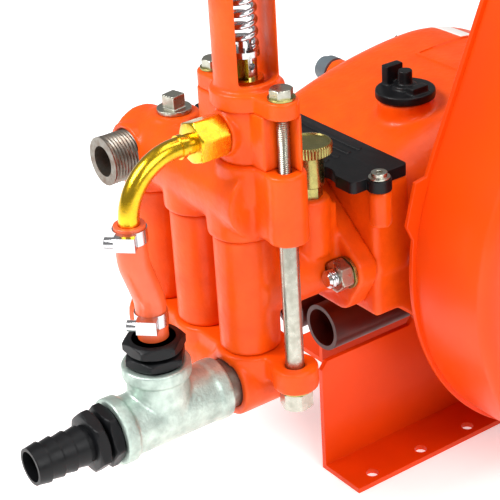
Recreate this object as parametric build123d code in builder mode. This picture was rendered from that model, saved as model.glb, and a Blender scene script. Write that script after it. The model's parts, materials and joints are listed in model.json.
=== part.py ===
"""Belt-driven triple-plunger pressure washer pump, in millimetres.

The frame has +X along the crankshaft towards the pulley, +Y to the rear and +Z up.
The origin is on the floor, in the middle of the foot bolt pattern.
"""

from build123d import *
import math
import os

X, Y, Z = (1, 0, 0), (0, 1, 0), (0, 0, 1)
DOWN, FRONT = (0, 0, -1), (0, -1, 0)

# Driving dimensions.
PITCH = 50.0  # between neighbouring plungers
STROKE = 20.0
TUBE_R = 20.0  # outside of a valve chamber
HEAD_Y = -146.0  # line of the three valve chambers
BLOCK_LOW = 131.0  # joint with the suction manifold
BLOCK_TOP = 213.5  # joint with the discharge manifold
CRANK_Y = 113.0
CRANK_Z = 172.25
LUG_Z = 219.0  # underside of the discharge manifold lugs
SEAT_Z = 266.0  # top of the discharge manifold, under the regulator
REG_X, REG_Y = 56.0, -141.0
REG_H = 35.0
FOOT_PITCH = 45.0
FOOT_X = 75.0
GUARD_R = 169.0
GUARD_END_R = 78.5
GUARD_END = (134.0, 441.0)  # Y and Z of the motor shaft behind the guard
PULLEY_R = 140.0

# Fits and clearances.
RUN = 0.05  # radial, running fit
GAP = 0.3  # between bodies that don't touch
CLEAR = 0.3  # radial, bolt in its hole

PLUNGERS = [PITCH, 0.0, -PITCH]
THROW = STROKE / 2
THROW_ANGLES = [180.0, 300.0, 60.0]  # of each crankpin, from +Y towards +Z
ORIGIN = (12.5, -67.5, 0.0)  # from the middle cylinder to the foot pattern

# Sizes by family.
M12, M12_FLATS, M12_NUT = 6.0, 19.0, 10.0
M8, M8_FLATS, M8_HEAD = 4.0, 13.0, 5.3
ROD_X = (91.0, -83.0)
ROD_Y = REG_Y
PIN_R = 13.0
SHAFT_R = 15.0
SEAT_R, SEAT_H = 15.0, 6.0
CHAMBER_R = 14.0
SEAT_FIT, SEAT_BORE = 0.1, 6.5
BALL_R = 9.0
BALL_RISE = 6.25  # ball centre over its seat
SUCTION_LIFT, DISCHARGE_LIFT = 4.0, 3.0
PACKING_Y, PACKING_R = (-108.0, -80.0), 14.0
ROD_LENGTH = 87.0
PLUNGER_R = 9.0
GUIDE_R, GUIDE_Y = 20.02, -50.0
FLANGE_Y = (-86.0, -71.0)  # head flange, front face and joint
FLANGE_LOBES = ((78.0, 172.25, 13.0), (25.0, 210.0, 18.0), (68.0, 152.0, 11.0))  # X, Z, radius
NECK_TOP = 231.0
SUMP_Z = 118.2
TUBE_OD, TUBE_WALL = 33.7, 3.2
SHEET = 4.0
FOOT_FACE = 47.2
FOOT_TOP = 88.6
FAR_FACE = -72.0
RAIL_X = (26.0, -12.0)
RAIL_Z = SUMP_Z - TUBE_OD / 2
INLET_X, INLET_Z = 50.0, 107.5
BRANCH_Y = -218.5
TEE_Y = (-255.5, -174.0)
BSP1_R = 16.6
BRANCH_TOP = 145.5
OUTLET_Z = 239.0
PORT_Z = SEAT_Z + 19
BEND_R = 37.0
BRASS_R = 6.5
HOSE_R = 9.8
HOSE_TOP_Y = -231.0
HOSE_Z = (163.3, 247.5)
YOKE_Z = SEAT_Z + REG_H
YOKE_FLANGE = 11.0
YOKE_TOP = 440.0
YOKE_BRIDGE = 12.0
CAGE_R, CAGE_BORE = 19.8, 14.8
STEM_R = 7.0
GLAND_NECK = 10.5
SCREW_R = 7.0
SPRING_Z = (334.0, 404.0)
SPRING_TURNS = 9
BAR_Z, BAR_R = 472.0, 5.0
GUARD_X = (107.0, 175.0)
LIP = 3.0
EAR = 35.0  # regulator bolts from the regulator axis
BOLT_X = (REG_X + EAR, REG_X - EAR)
BEARING_R = 36.0
CASE_X = (88.0, -91.0)
CROWN_Z, EDGE_R = 257.0, 40.0
BOSS_X = 91.0  # outside of the bearing bosses
STUDS = [(78.0, CRANK_Z), (-78.0, CRANK_Z), (25.0, 208.0), (-25.0, 208.0)]
OIL = (27.0, 8.0)
OIL_SEAT = 253.0
GREASE = (60.0, -99.5)
GREASE_Z = 225.0
PLUG = (-36.0, -137.0)
PLUG_Z = 265.0
COVER_SCREW = (92.0, -69.5)


def rod(start, axis, radius, length, mode=Mode.ADD):
    """A cylinder from start along axis, in the open sub-part."""
    with BuildSketch(Plane(origin=start, z_dir=axis)) as face:
        Circle(radius)
    extrude(face.sketch, amount=length, mode=mode)


def hexagon(start, axis, flats, length, mode=Mode.ADD):
    """A hexagonal prism from start along axis, by its width across flats."""
    with BuildSketch(Plane(origin=start, z_dir=axis)) as face:
        RegularPolygon(flats / 2, 6, major_radius=False)
    extrude(face.sketch, amount=length, mode=mode)


def box(x, y, z, mode=Mode.ADD, round_z=0.0):
    """A block between pairs of limits, with its upright edges rounded."""
    middle = ((x[0] + x[1]) / 2, (y[0] + y[1]) / 2, z[0])
    with BuildSketch(Plane(origin=middle, x_dir=X, z_dir=Z)) as face:
        if round_z:
            RectangleRounded(x[1] - x[0], y[1] - y[0], round_z)
        else:
            Rectangle(x[1] - x[0], y[1] - y[0])
    extrude(face.sketch, amount=z[1] - z[0], mode=mode)


def oval(centre, half_length, half_width, z, mode=Mode.ADD):
    """An upright slab whose plan is a slot along X."""
    with BuildSketch(Plane(origin=(centre[0], centre[1], z[0]), x_dir=X, z_dir=Z)) as face:
        SlotCenterToCenter(2 * half_length, 2 * half_width)
    extrude(face.sketch, amount=z[1] - z[0], mode=mode)


def coil(centre, z, mean_r, wire_r, turns, mode=Mode.ADD):
    """A helical spring about an upright axis; its wire stays inside the z limits."""
    height = z[1] - z[0] - 2 * wire_r
    start = (centre[0] + mean_r, centre[1], z[0] + wire_r)
    path = Helix(height / turns, height, mean_r, center=(centre[0], centre[1], z[0] + wire_r))
    with BuildSketch(Plane(origin=start, z_dir=path % 0)) as wire:
        Circle(wire_r)
    sweep(wire.sketch, path=path, is_frenet=True, mode=mode)


def save(name, builder):
    """Move a finished sub-part into the frame, label it and write its STEP file."""
    part = builder.part.moved(Location(ORIGIN))
    part.label = name
    export_step(part, f"parts/{name}.step")


def pin_centre(index):
    """Y and Z of one crankpin at rest."""
    angle = math.radians(THROW_ANGLES[index])
    return CRANK_Y + THROW * math.cos(angle), CRANK_Z + THROW * math.sin(angle)


def rest_slide(index):
    """How far a crosshead stands behind forward dead centre at rest."""
    y, z = pin_centre(index)
    reach = math.sqrt(ROD_LENGTH**2 - (z - CRANK_Z) ** 2)
    return y - reach - (CRANK_Y - THROW - ROD_LENGTH)


def bolt_circle(radius, count, start):
    """Y and Z offsets of bolts evenly round a circle."""
    for index in range(count):
        angle = math.radians(start + 360 / count * index)
        yield radius * math.cos(angle), radius * math.sin(angle)


def cap_screw(start, axis, length):
    """An M8 screw: its head stands off start along axis and its shank goes back."""
    back = tuple(-v for v in axis)
    hexagon(start, axis, M8_FLATS, M8_HEAD)
    rod(start, back, M8, length)


def guard_outline(big, small):
    """The guard seen along X: two circles and their tangents, in Y and Z."""
    with BuildSketch(Plane(origin=(0, 0, 0), x_dir=Y, z_dir=X), mode=Mode.PRIVATE) as face:
        with Locations((CRANK_Y, CRANK_Z)):
            Circle(big)
        with Locations(GUARD_END):
            Circle(small)
        make_hull()
    return face.sketch


def make_lower_manifold():
    """Cast suction manifold: a gallery under the chambers, the inlet boss and two lugs."""
    with BuildPart() as manifold:
        rod((-70, HEAD_Y, INLET_Z), X, 23, 120)
        for x in PLUNGERS:
            rod((x, HEAD_Y, INLET_Z), Z, 23, BLOCK_LOW - INLET_Z)
        rod((INLET_X, HEAD_Y - 21, INLET_Z), Y, 22.5, 46)
        for x, radius, inner in ((ROD_X[0], 15.0, PITCH), (ROD_X[1], 14.0, -PITCH)):
            rod((x, ROD_Y, BLOCK_LOW - 16), Z, radius, 16)
            limits = (min(x, inner), max(x, inner))
            box(limits, (ROD_Y - 11, ROD_Y + 11), (BLOCK_LOW - 16, BLOCK_LOW))
        box((-60, INLET_X), (HEAD_Y - 18, HEAD_Y + 18), (INLET_Z, BLOCK_LOW))
        box((-150, 150), (-220, -80), (BLOCK_LOW, BLOCK_LOW + 40), Mode.SUBTRACT)
        rod((-64, HEAD_Y, INLET_Z), X, 12, 64 + INLET_X, Mode.SUBTRACT)
        rod((INLET_X, HEAD_Y - 30, INLET_Z), Y, BSP1_R, 26, Mode.SUBTRACT)
        for x in PLUNGERS:
            rod((x, HEAD_Y, INLET_Z), Z, 10, 30, Mode.SUBTRACT)
            rod((x, HEAD_Y, BLOCK_LOW - SEAT_H), Z, SEAT_R + SEAT_FIT, 20, Mode.SUBTRACT)
        for x in ROD_X:
            rod((x, ROD_Y, BLOCK_LOW - 20), Z, M12 + CLEAR, 30, Mode.SUBTRACT)
    return manifold


def make_cylinder_block():
    """Cast block: three valve chambers, their plunger barrels and the head flange."""
    height = BLOCK_TOP - BLOCK_LOW
    with BuildPart() as block:
        for x in PLUNGERS:
            rod((x, HEAD_Y, BLOCK_LOW), Z, TUBE_R, height)
            rod((x, HEAD_Y, CRANK_Z), Y, 22, FLANGE_Y[0] - HEAD_Y + 1)
        with BuildSketch(Plane(origin=(0, FLANGE_Y[1], 0), x_dir=X, z_dir=FRONT)) as face:
            for side in (1, -1):
                for x, z, radius in FLANGE_LOBES:
                    with Locations((side * x, z)):
                        Circle(radius)
            make_hull()
        extrude(face.sketch, amount=FLANGE_Y[1] - FLANGE_Y[0])
        rod((GREASE[0], GREASE[1], 185), Z, 12, GREASE_Z - 185)
        box((GREASE[0] - 8, GREASE[0] + 8), (GREASE[1], FLANGE_Y[0] + 1), (185, GREASE_Z - 6))
        for x in PLUNGERS:
            rod((x, HEAD_Y, BLOCK_LOW), Z, CHAMBER_R, height, Mode.SUBTRACT)
            rod((x, HEAD_Y, BLOCK_TOP - SEAT_H), Z, SEAT_R + SEAT_FIT, SEAT_H, Mode.SUBTRACT)
            rod((x, HEAD_Y, CRANK_Z), Y, PLUNGER_R + CLEAR, 80, Mode.SUBTRACT)
            rod((x, PACKING_Y[0], CRANK_Z), Y, PACKING_R, 60, Mode.SUBTRACT)
        for x, z in STUDS:
            rod((x, FLANGE_Y[0] - 4, z), Y, M12 + CLEAR + 0.1, 30, Mode.SUBTRACT)
            rod((x, FLANGE_Y[0], z), FRONT, 11.4, 12.5, Mode.SUBTRACT)
        rod((GREASE[0], GREASE[1], GREASE_Z - 9), Z, 4 + RUN, 12, Mode.SUBTRACT)
    return block


def make_upper_manifold():
    """Cast discharge manifold: gallery, chamber lobes, outlet boss, lugs and seat."""
    gallery_z = 239.5
    with BuildPart() as manifold:
        rod((-66, HEAD_Y, gallery_z), X, 24, 138)
        for x in PLUNGERS:
            rod((x, HEAD_Y, BLOCK_TOP), Z, 23, gallery_z - BLOCK_TOP)
        rod((ROD_X[0], ROD_Y, LUG_Z), Z, 13, SEAT_Z - LUG_Z)
        rod((ROD_X[1], ROD_Y, LUG_Z), Z, 12, 243.5 - LUG_Z)
        box((PITCH, ROD_X[0]), (ROD_Y - 12, ROD_Y + 12), (LUG_Z, SEAT_Z))
        box((ROD_X[1], -PITCH), (ROD_Y - 10, ROD_Y + 10), (LUG_Z, 241))
        rod((REG_X, REG_Y, gallery_z), Z, 23, SEAT_Z - gallery_z)
        oval((REG_X, REG_Y), EAR, 12, (gallery_z, SEAT_Z))
        rod((PLUG[0], PLUG[1], gallery_z), Z, 17, PLUG_Z - gallery_z)
        rod((-18, -119, gallery_z), Z, 8, 262 - gallery_z)
        rod((-PITCH, HEAD_Y, OUTLET_Z), FRONT, 21, 22)
        box((-150, 150), (-200, -90), (BLOCK_TOP - 40, BLOCK_TOP), Mode.SUBTRACT)
        rod((-58, HEAD_Y, gallery_z), X, 10, 118, Mode.SUBTRACT)
        for x in PLUNGERS:
            rod((x, HEAD_Y, BLOCK_TOP), Z, CHAMBER_R, 23.5, Mode.SUBTRACT)
        rod((-PITCH, HEAD_Y - 30, OUTLET_Z), Y, BSP1_R + 0.1, 14.5, Mode.SUBTRACT)
        rod((-PITCH, HEAD_Y - 24, OUTLET_Z), Y, 8.5, 24, Mode.SUBTRACT)
        rod((REG_X, REG_Y, gallery_z), Z, 8, 40, Mode.SUBTRACT)
        rod((PLUG[0], PLUG[1], PLUG_Z - 20), Z, 8.3, 40, Mode.SUBTRACT)
        rod((-18, -119, 247), Z, M8 + 0.1, 20, Mode.SUBTRACT)
        for x in ROD_X:
            rod((x, ROD_Y, LUG_Z), Z, M12 + 0.1, 22.5, Mode.SUBTRACT)
        for x in BOLT_X:
            rod((x, REG_Y, SEAT_Z - 15), Z, M8 + 0.1, 20, Mode.SUBTRACT)
    return manifold


def make_washers():
    """Washers under the tie bolts, the stud nuts and the regulator bolts."""
    with BuildPart() as washers:
        for x in ROD_X:
            rod((x, ROD_Y, BLOCK_LOW - 16), DOWN, 10.4, 3)
            rod((x, ROD_Y, BLOCK_LOW - 10), DOWN, M12 + CLEAR, 20, Mode.SUBTRACT)
        for x, z in STUDS:
            rod((x, FLANGE_Y[0], z), FRONT, 11, 2)
            rod((x, FLANGE_Y[0] + 4, z), FRONT, M12 + CLEAR, 20, Mode.SUBTRACT)
        for x in BOLT_X:
            rod((x, REG_Y, YOKE_Z + YOKE_FLANGE), Z, 8.5, 1.5)
            rod((x, REG_Y, YOKE_Z), Z, M8 + CLEAR, 20, Mode.SUBTRACT)
    return washers


def make_head_studs():
    """Four studs from the crankcase through the head flange."""
    with BuildPart() as studs:
        for x, z in STUDS:
            rod((x, FLANGE_Y[0] - 18, z), Y, M12, 49)
    return studs


def make_plunger(index):
    """Crosshead with its wrist pin, and the plunger pressed into it."""
    x = PLUNGERS[index]
    face = -6.0 + rest_slide(index)
    with BuildPart() as plunger:
        rod((x, face, CRANK_Z), Y, GUIDE_R - RUN, 40)
        rod((x, face + 14, CRANK_Z), Y, 16, 40, Mode.SUBTRACT)
        rod((x - 17, face + 22, CRANK_Z), X, 4, 34)
        rod((x, face - 130, CRANK_Z), Y, PLUNGER_R, 131)
    return plunger


def make_con_rod(index):
    """Connecting rod and big-end cap, level; the small end is left open."""
    x = PLUNGERS[index]
    y, z = pin_centre(index)
    with BuildPart() as rod_part:
        rod((x - 9, y, z), X, 20, 18)
        box((x - 4, x + 4), (y - 60, y), (z - 5, z + 5))
        for side in (1, -1):
            box((x - 5, x + 5), (y - 9, y + 9), (z + side * 21 - 3, z + side * 21 + 3))
        rod((x - 12, y, z), X, PIN_R + RUN, 24, Mode.SUBTRACT)
    return rod_part


def make_crankshaft():
    """Three-throw crankshaft with a nose for the pulley."""
    webs = ((60, 70), (10, 40), (-40, -10), (-70, -60))
    with BuildPart() as shaft:
        for low, high in webs:
            rod((low, CRANK_Y, CRANK_Z), X, 26, high - low)
        for index, x in enumerate(PLUNGERS):
            y, z = pin_centre(index)
            rod((x - 11, y, z), X, PIN_R, 22)
        rod((-91, CRANK_Y, CRANK_Z), X, SHAFT_R, 22)
        rod((69, CRANK_Y, CRANK_Z), X, SHAFT_R, 44)
        rod((112, CRANK_Y, CRANK_Z), X, 14, 46)
        rod((138, CRANK_Y, CRANK_Z), X, M8 + RUN, 40, Mode.SUBTRACT)
    return shaft


def make_bearings():
    """Two ball bearings, 30 mm bore and 72 mm outside, drawn as closed rings."""
    with BuildPart() as bearings:
        for x in (73.0, -91.0):
            rod((x, CRANK_Y, CRANK_Z), X, BEARING_R, 18)
            rod((x, CRANK_Y, CRANK_Z), X, SHAFT_R + RUN, 18, Mode.SUBTRACT)
    return bearings


def make_crankcase():
    """Cast crankcase: arched body, neck with three guides, bearing and filler bosses."""
    near, far = CASE_X
    with BuildPart() as case:
        with BuildSketch(Plane(origin=(far, 0, 0), x_dir=Y, z_dir=X)) as side:
            with BuildLine():
                crown = ThreePointArc((-56, 221), (14, 246), (86, CROWN_Z))
                TangentArc((86, CROWN_Z), (201, 180), tangent=crown % 1)
                Line((201, 180), (201, 145))
                ThreePointArc((201, 145), (193, 126), (175, SUMP_Z))
                Line((175, SUMP_Z), (-30, SUMP_Z))
                Line((-30, SUMP_Z), (-56, 140))
                Line((-56, 140), (-56, 221))
            make_face()
        extrude(side.sketch, amount=near - far)
        walls = case.edges().filter_by(lambda e: abs(e.center().X) > 80)
        fillet(walls.filter_by(lambda e: e.center().Z > 200), EDGE_R)
        box((-91, 88), (FLANGE_Y[1], -41), (136, NECK_TOP))
        rod((COVER_SCREW[0], COVER_SCREW[1], 206), Z, 8, NECK_TOP - 206)
        for x in (78, -78):
            rod((x, FLANGE_Y[1], CRANK_Z), Y, 12.5, 26)
        rod((80, CRANK_Y, CRANK_Z), X, 48, 11)
        rod((-80, CRANK_Y, CRANK_Z), (-1, 0, 0), 66, 15)
        for x in RAIL_X:
            for y in (20.0, 140.0):
                box((x - 13, x + 13), (y, y + 24), (RAIL_Z, SUMP_Z + 3))
        rod((OIL[0], OIL[1], 225), Z, 19, OIL_SEAT - 225)
        rod((-60, 45, 226), (-1, 0, 0), 11, 37)
        box((-120, 88.3), (-120, FLANGE_Y[1]), (100, 300), Mode.SUBTRACT)
        box((-26, 30), (62, 115), (CROWN_Z - 1.2, 290), Mode.SUBTRACT)
        rod((-77, CRANK_Y, CRANK_Z), X, 46, 154, Mode.SUBTRACT)
        box((-77, 77), (50, CRANK_Y), (CRANK_Z - 36, CRANK_Z + 46), Mode.SUBTRACT)
        rod((60, CRANK_Y, CRANK_Z), X, BEARING_R + RUN, 40, Mode.SUBTRACT)
        rod((-60, CRANK_Y, CRANK_Z), (-1, 0, 0), BEARING_R + RUN, 50, Mode.SUBTRACT)
        for x in RAIL_X:
            rod((x, -80, RAIL_Z), Y, TUBE_OD / 2, 400, Mode.SUBTRACT)
        rod((COVER_SCREW[0], COVER_SCREW[1], 214), Z, 3, 30, Mode.SUBTRACT)
        for x in PLUNGERS:
            rod((x, GUIDE_Y, CRANK_Z), Y, GUIDE_R, 66 - GUIDE_Y, Mode.SUBTRACT)
            rod((x, -80, CRANK_Z), Y, PLUNGER_R + CLEAR, 60, Mode.SUBTRACT)
            rod((x, -80, CRANK_Z), Y, 15, 17, Mode.SUBTRACT)
        for x, z in STUDS:
            rod((x, -80, z), Y, M12 + RUN, 26, Mode.SUBTRACT)
        rod((OIL[0], OIL[1], 205), Z, 12 + RUN, 60, Mode.SUBTRACT)
        for y, z in bolt_circle(41, 4, 45):
            rod((78, CRANK_Y + y, CRANK_Z + z), X, M8 + 0.1, 30, Mode.SUBTRACT)
        for y, z in bolt_circle(56, 6, 30):
            rod((-82, CRANK_Y + y, CRANK_Z + z), (-1, 0, 0), M8 + 0.1, 30, Mode.SUBTRACT)
        rod((0, 190, 140), Y, 8 + RUN, 20, Mode.SUBTRACT)
        rod((-85, 45, 226), (-1, 0, 0), 4 + RUN, 30, Mode.SUBTRACT)
    return case


def make_seals():
    """Chevron packings round the plungers, their oil seals and the shaft seal."""
    with BuildPart() as seals:
        for x in PLUNGERS:
            rod((x, PACKING_Y[0], CRANK_Z), Y, PACKING_R, PACKING_Y[1] - PACKING_Y[0])
            rod((x, FLANGE_Y[1], CRANK_Z), Y, 15, 8)
            rod((x, -120, CRANK_Z), Y, PLUNGER_R + RUN, 70, Mode.SUBTRACT)
        rod((91.4, CRANK_Y, CRANK_Z), X, 22, 7)
        rod((80, CRANK_Y, CRANK_Z), X, SHAFT_R + RUN, 30, Mode.SUBTRACT)
    return seals


def make_bearing_covers():
    """Near cover with stand-offs for the guard, and the wide far cover."""
    near_holes = list(bolt_circle(41, 4, 45))
    with BuildPart() as covers:
        rod((BOSS_X, CRANK_Y, CRANK_Z), X, 48, 8)
        for y, z in near_holes:
            rod((BOSS_X, CRANK_Y + y, CRANK_Z + z), X, 8, GUARD_X[0] - BOSS_X)
        rod((80, CRANK_Y, CRANK_Z), X, 22, 40, Mode.SUBTRACT)
        for y, z in near_holes:
            rod((80, CRANK_Y + y, CRANK_Z + z), X, M8 + CLEAR, 40, Mode.SUBTRACT)
        rod((-95, CRANK_Y, CRANK_Z), (-1, 0, 0), 65, 6)
        rod((-101, CRANK_Y, CRANK_Z), (-1, 0, 0), 30, 5)
        for y, z in bolt_circle(56, 6, 30):
            rod((-80, CRANK_Y + y, CRANK_Z + z), (-1, 0, 0), M8 + CLEAR, 40, Mode.SUBTRACT)
    return covers


def make_m8_bolts():
    """M8 screws of both bearing covers, of the guard and of the manifold's small pad."""
    with BuildPart() as bolts:
        for y, z in bolt_circle(41, 4, 45):
            cap_screw((GUARD_X[0] + 3, CRANK_Y + y, CRANK_Z + z), X, 30)
        for y, z in bolt_circle(56, 6, 30):
            cap_screw((-101, CRANK_Y + y, CRANK_Z + z), (-1, 0, 0), 18)
        cap_screw((-18, -119, 262), Z, 14)
    return bolts


def make_inspection_cover():
    """Moulded plate over the neck, with a round screw lug and plain ribs."""
    with BuildPart() as cover:
        box((-91, 88), (-88, -42), (NECK_TOP, NECK_TOP + 8), round_z=4)
        rod((COVER_SCREW[0], COVER_SCREW[1], NECK_TOP), Z, 8, 8)
        for row in range(4):
            y = -80 + 9 * row
            box((-70, 50), (y, y + 4), (NECK_TOP + 8, NECK_TOP + 8.8))
        rod((COVER_SCREW[0], COVER_SCREW[1], NECK_TOP), Z, 3 + CLEAR, 20, Mode.SUBTRACT)
        rod((GREASE[0], GREASE[1], NECK_TOP - 5), Z, 15.8, 30, Mode.SUBTRACT)
    return cover


def make_oil_plug():
    """Stem of the oil filler plug with its dipstick."""
    with BuildPart() as plug:
        rod((OIL[0], OIL[1], OIL_SEAT - 14), Z, 12, 14)
        rod((OIL[0], OIL[1], 208), Z, 2.5, 40)
    return plug


def make_oil_cap():
    """Round cap on the filler plug: disc, knob and two finger wings."""
    x, y = OIL
    top = OIL_SEAT + GAP
    with BuildPart() as cap:
        rod((x, y, top), Z, 20.5, 6)
        rod((x, y, top + 6), Z, 8.5, 3)
        rod((x, y, top + 6), Z, 5, 13)
        box((x - 17, x - 10), (y - 7, y + 7), (top + 5, top + 20))
        box((x + 9, x + 16), (y - 7, y + 7), (top + 5, top + 11))
    return cap


def make_drain_plug():
    """Hexagon drain plug in the rear of the sump."""
    with BuildPart() as plug:
        rod((0, 193, 140), Y, 8, 8)
        hexagon((0, 201, 140), Y, 19, 7)
    return plug


def make_breather():
    """Domed breather on its stub at the far side."""
    with BuildPart() as breather:
        rod((-97, 45, 226), (-1, 0, 0), 11, 8)
        rod((-105, 45, 226), (-1, 0, 0), 9, 6)
        rod((-97, 45, 226), X, 4, 10)
    return breather


def make_grease_base():
    """Hexagon base and threaded spigot of the grease cup."""
    with BuildPart() as base:
        hexagon((GREASE[0], GREASE[1], GREASE_Z), Z, 13, 8 - GAP)
        rod((GREASE[0], GREASE[1], GREASE_Z - 8), Z, 4, 10)
        rod((GREASE[0], GREASE[1], GREASE_Z), Z, 5, 24)
        rod((GREASE[0], GREASE[1], GREASE_Z - 8), Z, 1.5, 40, Mode.SUBTRACT)
    return base


def make_grease_cap():
    """Screw-down cap of the grease cup, hollow, with a wide rim to grip."""
    with BuildPart() as cap:
        rod((GREASE[0], GREASE[1], GREASE_Z + 8), Z, 9, 23)
        rod((GREASE[0], GREASE[1], GREASE_Z + 30), Z, 14.8, 8)
        rod((GREASE[0], GREASE[1], GREASE_Z + 7), Z, 5 + RUN, 25, Mode.SUBTRACT)
        rod((GREASE[0], GREASE[1], GREASE_Z + 37), Z, 12.5, 3, Mode.SUBTRACT)
    return cap


def make_regulator_body():
    """Regulator tower: oval body with open bolt slots and the bypass port boss."""
    with BuildPart() as body:
        rod((REG_X, REG_Y, SEAT_Z), Z, 20, REG_H)
        oval((REG_X, REG_Y), EAR, 11, (SEAT_Z, YOKE_Z))
        rod((REG_X, REG_Y, PORT_Z), FRONT, 14, 21.5)
        rod((REG_X, REG_Y, SEAT_Z), Z, 9, REG_H, Mode.SUBTRACT)
        rod((REG_X, REG_Y, YOKE_Z - 11), Z, 14, 20, Mode.SUBTRACT)
        rod((REG_X, REG_Y, PORT_Z), FRONT, BRASS_R + 0.1, 30, Mode.SUBTRACT)
        for side in (1, -1):
            reach = sorted((REG_X + side * EAR, REG_X + side * (EAR + 20)))
            box(reach, (REG_Y - 4.7, REG_Y + 4.7), (SEAT_Z, YOKE_Z), Mode.SUBTRACT)
            rod((REG_X + side * EAR, REG_Y, SEAT_Z), Z, 4.7, REG_H, Mode.SUBTRACT)
        near_ear = (REG_X + EAR - 4.7, REG_X + EAR + 20)
        box(near_ear, (REG_Y - 20, REG_Y + 4.7), (SEAT_Z, YOKE_Z), Mode.SUBTRACT)
    return body


def make_regulator_yoke():
    """Spring cage: oval flange, a round tube with two windows along X, and its bridge."""
    cage_low = YOKE_Z + YOKE_FLANGE
    inside_top = YOKE_TOP - YOKE_BRIDGE
    with BuildPart() as yoke:
        oval((REG_X, REG_Y), EAR, 10.5, (YOKE_Z, cage_low))
        rod((REG_X, REG_Y, YOKE_Z), Z, 23, YOKE_FLANGE)
        rod((REG_X, REG_Y, YOKE_Z), Z, CAGE_R, YOKE_TOP - YOKE_Z)
        rod((REG_X, REG_Y, cage_low), Z, CAGE_BORE, inside_top - cage_low, Mode.SUBTRACT)
        window = (cage_low + 4, inside_top - 8)
        box((REG_X - 30, REG_X + 30), (REG_Y - 14.3, REG_Y + 14.3), window, Mode.SUBTRACT)
        rod((REG_X, REG_Y, YOKE_Z), Z, GLAND_NECK + CLEAR, 30, Mode.SUBTRACT)
        rod((REG_X, REG_Y, inside_top - 1), Z, SCREW_R + 0.1, 40, Mode.SUBTRACT)
        for x in BOLT_X:
            rod((x, REG_Y, YOKE_Z), Z, M8 + CLEAR, 20, Mode.SUBTRACT)
    return yoke


def make_regulator_bolts():
    """Two long M8 bolts through the yoke flange and the tower's slots."""
    top = YOKE_Z + YOKE_FLANGE + 1.5
    with BuildPart() as bolts:
        for x in BOLT_X:
            hexagon((x, REG_Y, top), Z, M8_FLATS, M8_HEAD)
            rod((x, REG_Y, SEAT_Z - 14), Z, M8, top - SEAT_Z + 14)
    return bolts


def make_regulator_spring():
    """Main spring of the pressure regulator."""
    with BuildPart() as spring:
        coil((REG_X, REG_Y), SPRING_Z, 7.0, 1.9, SPRING_TURNS)
    return spring


def make_adjusting_screw():
    """Adjusting screw, turned by its cross bar."""
    with BuildPart() as screw:
        rod((REG_X, REG_Y, SPRING_Z[1] + 6 + RUN), Z, SCREW_R, 70)
        rod((REG_X - 30, REG_Y, BAR_Z), X, BAR_R + RUN, 60, Mode.SUBTRACT)
    return screw


def make_lock_nut():
    """Lock nut of the adjusting screw, on the bridge."""
    with BuildPart() as nut:
        hexagon((REG_X, REG_Y, YOKE_TOP), Z, 22, 10)
        rod((REG_X, REG_Y, YOKE_TOP), Z, SCREW_R + 0.1, 20, Mode.SUBTRACT)
    return nut


def make_brass_nut():
    """Union nut of the bypass tube."""
    with BuildPart() as nut:
        hexagon((REG_X, REG_Y - 21.8, PORT_Z), FRONT, 25, 21.2)
        rod((REG_X, REG_Y, PORT_Z), FRONT, BRASS_R + RUN, 60, Mode.SUBTRACT)
    return nut


def make_hose():
    """Short bypass hose from the brass tube to the tee's adaptor."""
    top = (REG_X, HOSE_TOP_Y, HOSE_Z[1])
    with BuildPart() as hose:
        with BuildLine() as path:
            FilletPolyline(
                top,
                (REG_X, HOSE_TOP_Y, 222),
                (INLET_X, BRANCH_Y, 190),
                (INLET_X, BRANCH_Y, HOSE_Z[0]),
                radius=30,
            )
        with BuildSketch(Plane(origin=top, z_dir=DOWN)) as face:
            Circle(HOSE_R)
            Circle(BRASS_R + 0.1, mode=Mode.SUBTRACT)
        sweep(face.sketch, path=path.wires()[0])
    return hose


def make_hose_clamps():
    """Two worm-drive clamps, each a band with its housing and screw."""
    along = (math.sqrt(0.5), math.sqrt(0.5), 0)
    back = tuple(-v for v in along)
    with BuildPart() as clamps:
        for x, y, z in ((REG_X, HOSE_TOP_Y, 241.0), (INLET_X, BRANCH_Y, 177.5)):
            rod((x, y, z - 4.5), Z, HOSE_R + 0.9, 9)
            start = (x + 9 - 4.5, y - 9 - 4.5, z)
            with BuildSketch(Plane(origin=start, x_dir=Z, z_dir=along)) as housing:
                Rectangle(9, 7)
            extrude(housing.sketch, amount=13)
            rod(start, back, 3.6, 6)
            rod((x, y, z - 9), Z, HOSE_R + 0.1, 18, Mode.SUBTRACT)
    return clamps


def make_hose_adaptor():
    """Nylon adaptor in the tee's branch, with two hexagons and a hose spigot."""
    with BuildPart() as adaptor:
        rod((INLET_X, BRANCH_Y, 128), Z, BSP1_R - 0.2, 18)
        hexagon((INLET_X, BRANCH_Y, BRANCH_TOP + 0.3), Z, 35.5, 7)
        rod((INLET_X, BRANCH_Y, BRANCH_TOP), Z, 14, 11)
        hexagon((INLET_X, BRANCH_Y, 155), Z, 35.5, 8)
        rod((INLET_X, BRANCH_Y, 155), Z, BRASS_R, 28)
        rod((INLET_X, BRANCH_Y, 120), Z, 4.5, 90, Mode.SUBTRACT)
    return adaptor


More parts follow.
